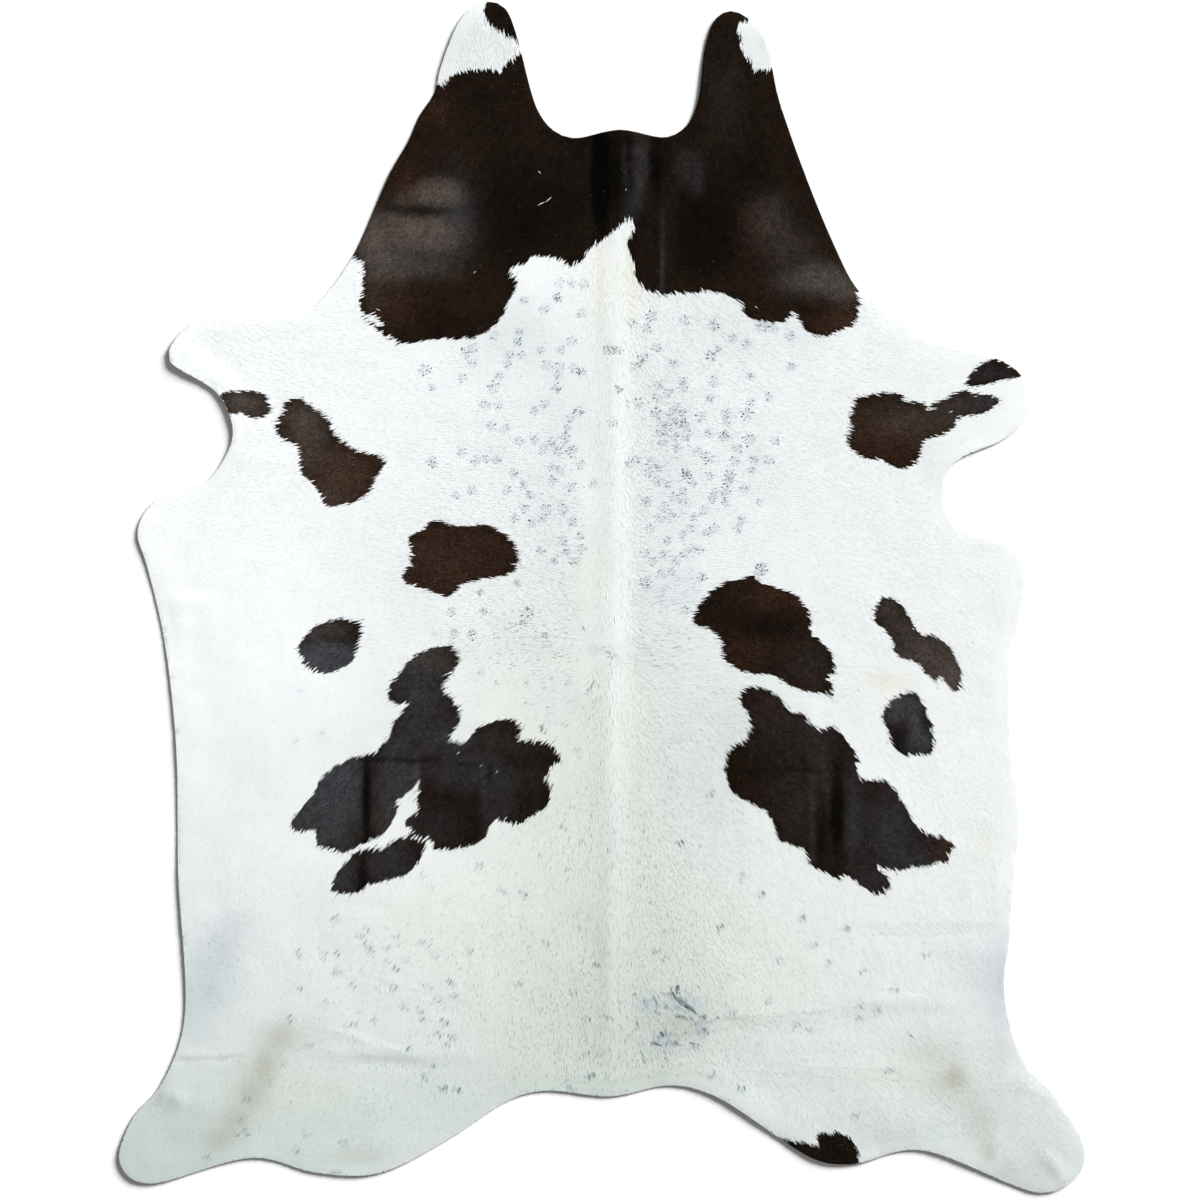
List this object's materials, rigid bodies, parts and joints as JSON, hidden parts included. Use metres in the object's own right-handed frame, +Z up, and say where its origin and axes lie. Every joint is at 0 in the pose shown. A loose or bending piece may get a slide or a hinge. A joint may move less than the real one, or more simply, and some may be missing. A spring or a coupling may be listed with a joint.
{
  "type": "cowhide rug",
  "caption": "Flat rug made of one whole cowhide with its hair on, cut along its natural outline with neck flaps, forelegs and hind legs.",
  "frame": {"origin": "on the floor under the middle of the hide's bounding box", "axes": "+Z up out of the hair side, +Y along the spine towards the neck, +X towards the animal's right side as it lies hair up"},
  "size_m": [1.834, 2.262, 0.0105],
  "materials": {
    "hide_coat": "short glossy hair on a suede-backed hide, white with black-brown patches"
  },
  "bodies": {
    "root": {"hide": "hide_coat"}
  },
  "joints": []
}
